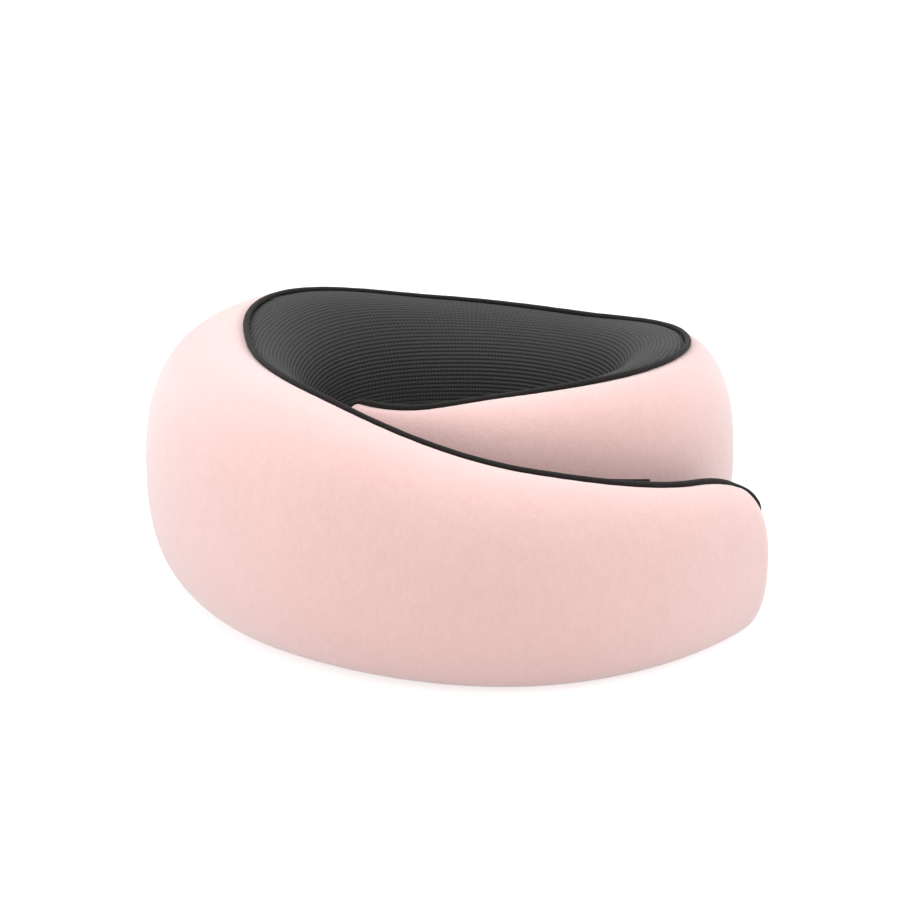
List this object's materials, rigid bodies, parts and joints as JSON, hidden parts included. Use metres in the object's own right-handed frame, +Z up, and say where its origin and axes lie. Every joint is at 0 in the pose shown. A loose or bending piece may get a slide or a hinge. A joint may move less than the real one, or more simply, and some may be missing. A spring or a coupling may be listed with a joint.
{
  "type": "neck pillow",
  "caption": "Wrap-round neck pillow: a padded roll wound in an overlapping spiral, fabric outside, spacer mesh on the neck side, piped crown seam and a zip low on the back.",
  "frame": {"origin": "centre of the base: the middle of the footprint, on the surface the pillow rests on", "axes": "+Z up through the neck hole; the arms overlap at the -Y side, the nape is at +Y, +X is the wearer's left as seen from the front"},
  "size_m": [0.2626, 0.2739, 0.1121],
  "materials": {
    "cover_fabric": "brushed short-pile knit",
    "spacer_mesh": "knitted spacer mesh in rows",
    "piping": "tight plain weave over a cord",
    "touch_fastener": "hook and loop pile",
    "liner_cloth": "thin plain knit",
    "foam": "fine open-cell memory foam",
    "zip_tape": "woven tape",
    "zip_plastic": "moulded, slightly satin",
    "zip_metal": "black enamel"
  },
  "bodies": {
    "back": {"cover_back": "cover_fabric", "mesh_back": "spacer_mesh", "piping_back": "piping", "liner_back": "liner_cloth", "foam_back": "foam", "zip_tape_upper": "zip_tape", "zip_tape_lower": "zip_tape", "zip_teeth": "zip_plastic", "zip_top_stop": "zip_plastic", "zip_bottom_stop": "zip_plastic"},
    "outer_arm": {"cover_outer_arm": "cover_fabric", "mesh_outer_arm": "spacer_mesh", "piping_outer_arm": "piping", "liner_outer_arm": "liner_cloth", "foam_outer_arm": "foam"},
    "outer_tip": {"cover_outer_tip": "cover_fabric", "mesh_outer_tip": "spacer_mesh", "piping_outer_tip": "piping", "liner_outer_tip": "liner_cloth", "foam_outer_tip": "foam", "hook_patch": "touch_fastener"},
    "inner_arm": {"cover_inner_arm": "cover_fabric", "mesh_inner_arm": "spacer_mesh", "piping_inner_arm": "piping", "liner_inner_arm": "liner_cloth", "foam_inner_arm": "foam"},
    "inner_tip": {"cover_inner_tip": "cover_fabric", "mesh_inner_tip": "spacer_mesh", "piping_inner_tip": "piping", "liner_inner_tip": "liner_cloth", "foam_inner_tip": "foam", "loop_patch": "touch_fastener"},
    "slider": {"zip_slider": "zip_metal"},
    "pull": {"zip_pull": "zip_metal"}
  },
  "joints": [
    {"name": "outer_arm_open", "type": "hinge", "parent": "back", "child": "outer_arm", "pos_m": [-0.13119, 0.01066, 0.05], "axis": [0, 0, -1], "range_deg": [0, 55], "stiffness_Nm_per_rad": 1.2},
    {"name": "outer_tip_peel", "type": "hinge", "parent": "outer_arm", "child": "outer_tip", "pos_m": [-0.04525, -0.12188, 0.045], "axis": [0, 0, -1], "range_deg": [0, 40], "stiffness_Nm_per_rad": 0.5},
    {"name": "inner_arm_open", "type": "hinge", "parent": "back", "child": "inner_arm", "pos_m": [0.12061, 0.04516, 0.05], "axis": [0, 0, 1], "range_deg": [0, 28], "stiffness_Nm_per_rad": 1},
    {"name": "inner_tip_curl", "type": "hinge", "parent": "inner_arm", "child": "inner_tip", "pos_m": [0.05477, -0.02171, 0.05], "axis": [0, 0, -1], "range_deg": [0, 20], "stiffness_Nm_per_rad": 0.5},
    {"name": "slider_travel", "type": "hinge", "parent": "back", "child": "slider", "pos_m": [-0.0052, 0.0007, 0.024], "axis": [0, 0, 1], "range_deg": [0, 76]},
    {"name": "pull_swing", "type": "hinge", "parent": "slider", "child": "pull", "pos_m": [0.08762, 0.10164, 0.02286], "axis": [0.7361, -0.6769, 0], "range_deg": [0, 120]}
  ],
  "couplings": [
    {"joint": "inner_arm_open", "follows": "outer_arm_open", "ratio": 0.5}
  ]
}
